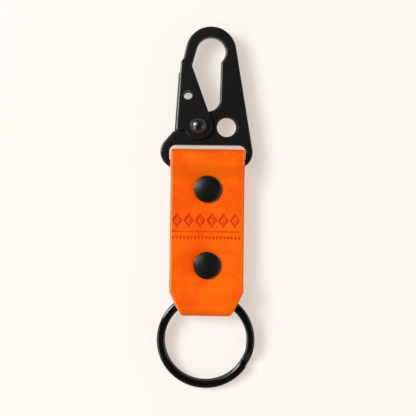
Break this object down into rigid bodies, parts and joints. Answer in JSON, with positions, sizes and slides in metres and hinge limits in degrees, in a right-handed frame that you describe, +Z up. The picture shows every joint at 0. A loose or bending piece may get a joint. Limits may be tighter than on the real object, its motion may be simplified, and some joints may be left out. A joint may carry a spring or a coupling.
{
  "type": "carabiner keyring",
  "caption": "Flat snap hook with a sprung gate, riveted to a folded leather strap that holds a split ring for keys.",
  "frame": {"origin": "middle of the bounding box at its lowest face, with the keyring lying flat on its back", "axes": "+X across the object to the right, +Y along it towards the hook's tip, +Z up out of the front"},
  "size_m": [0.0326, 0.1208, 0.0085],
  "materials": {
    "black_steel": "satin black coating",
    "spring_steel": "bright drawn wire",
    "orange_leather": "smooth dyed, waxed",
    "black_wire": "semi-gloss black plating",
    "cap_black": "satin black plating",
    "rivet_metal": "plain"
  },
  "bodies": {
    "hook": {"hook_frame": "black_steel", "pivot_rivet": "black_steel", "gate_spring": "spring_steel"},
    "gate": {"gate": "black_steel"},
    "strap": {"strap": "orange_leather", "upper_rivet_front_cap": "cap_black", "upper_rivet_socket": "rivet_metal", "upper_rivet_post": "rivet_metal", "upper_rivet_back_cap": "cap_black", "lower_rivet_front_cap": "cap_black", "lower_rivet_socket": "rivet_metal", "lower_rivet_post": "rivet_metal", "lower_rivet_back_cap": "cap_black"},
    "ring": {"split_ring": "black_wire"}
  },
  "joints": [
    {"name": "gate_pivot", "type": "hinge", "parent": "hook", "child": "gate", "pos_m": [-0.00311, 0.02726, 0.00385], "axis": [0, 0, -1], "range_deg": [0, 40], "stiffness_Nm_per_rad": 0.02, "springref_deg": -28.65, "deforming": ["gate_spring"]},
    {"name": "strap_swing", "type": "hinge", "parent": "hook", "child": "strap", "pos_m": [0, 0.01476, 0.00385], "axis": [1, 0, 0], "range_deg": [-135, 135]},
    {"name": "ring_spin", "type": "hinge", "parent": "strap", "child": "ring", "pos_m": [0, -0.04402, 0.00273], "axis": [0, -0.0854, 0.9963], "continuous": true}
  ]
}
